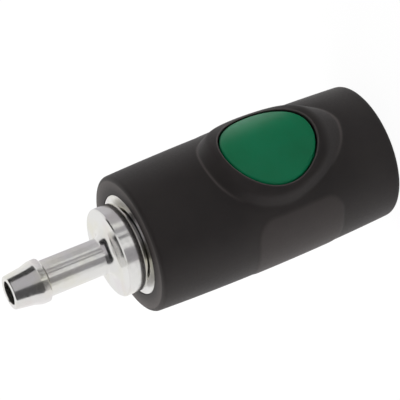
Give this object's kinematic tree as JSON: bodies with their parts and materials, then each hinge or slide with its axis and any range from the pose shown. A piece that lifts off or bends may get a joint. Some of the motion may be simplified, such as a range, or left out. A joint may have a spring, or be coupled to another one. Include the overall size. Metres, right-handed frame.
{
  "type": "quick disconnect coupling",
  "caption": "Quick disconnect air coupling: barrel-shaped moulded cover with a domed push button, sprung latch and valve inside, and a barbed metal hose tail.",
  "frame": {"origin": "on the coupling's axis, in the plane of the cover's mouth face, where the plug enters", "axes": "+Z along the axis from the mouth towards the hose tail, -Y from the axis towards the button, +X to complete a right-handed frame"},
  "size_m": [0.0322, 0.0343, 0.0868],
  "materials": {
    "cover_plastic": "fine matt",
    "button_plastic": "satin",
    "guide_plastic": "matt",
    "washer_plastic": "smooth",
    "seal_rubber": "moulded",
    "zinc_plated_steel": "bright zinc plate",
    "hard_steel": "ground",
    "spring_steel": "drawn",
    "valve_brass": "turned"
  },
  "bodies": {
    "coupling": {"cover": "cover_plastic", "latch_spring_front": "spring_steel", "latch_spring_rear": "spring_steel", "inner_body": "zinc_plated_steel", "mouth_guide": "guide_plastic", "front_oring": "seal_rubber", "rear_oring": "seal_rubber", "snap_ring": "spring_steel", "seal_backup": "washer_plastic", "plug_seal": "seal_rubber", "valve_seat": "valve_brass", "valve_spring": "spring_steel", "spring_seat": "spring_steel", "tail_gasket": "seal_rubber", "hose_tail": "zinc_plated_steel"},
    "button": {"push_button": "button_plastic", "latch_slide": "hard_steel"},
    "valve": {"valve_piston": "valve_brass", "valve_seal": "seal_rubber"}
  },
  "joints": [
    {"name": "button_press", "type": "slide", "parent": "coupling", "child": "button", "axis": [0, 1, 0], "range_m": [0, 0.003], "stiffness_N_per_m": 4000, "springref_m": -0.002, "deforming": ["latch_spring_front", "latch_spring_rear"]},
    {"name": "valve_open", "type": "slide", "parent": "coupling", "child": "valve", "axis": [0, 0, 1], "range_m": [0, 0.005], "stiffness_N_per_m": 2000, "springref_m": -0.003, "deforming": ["valve_spring"]}
  ]
}
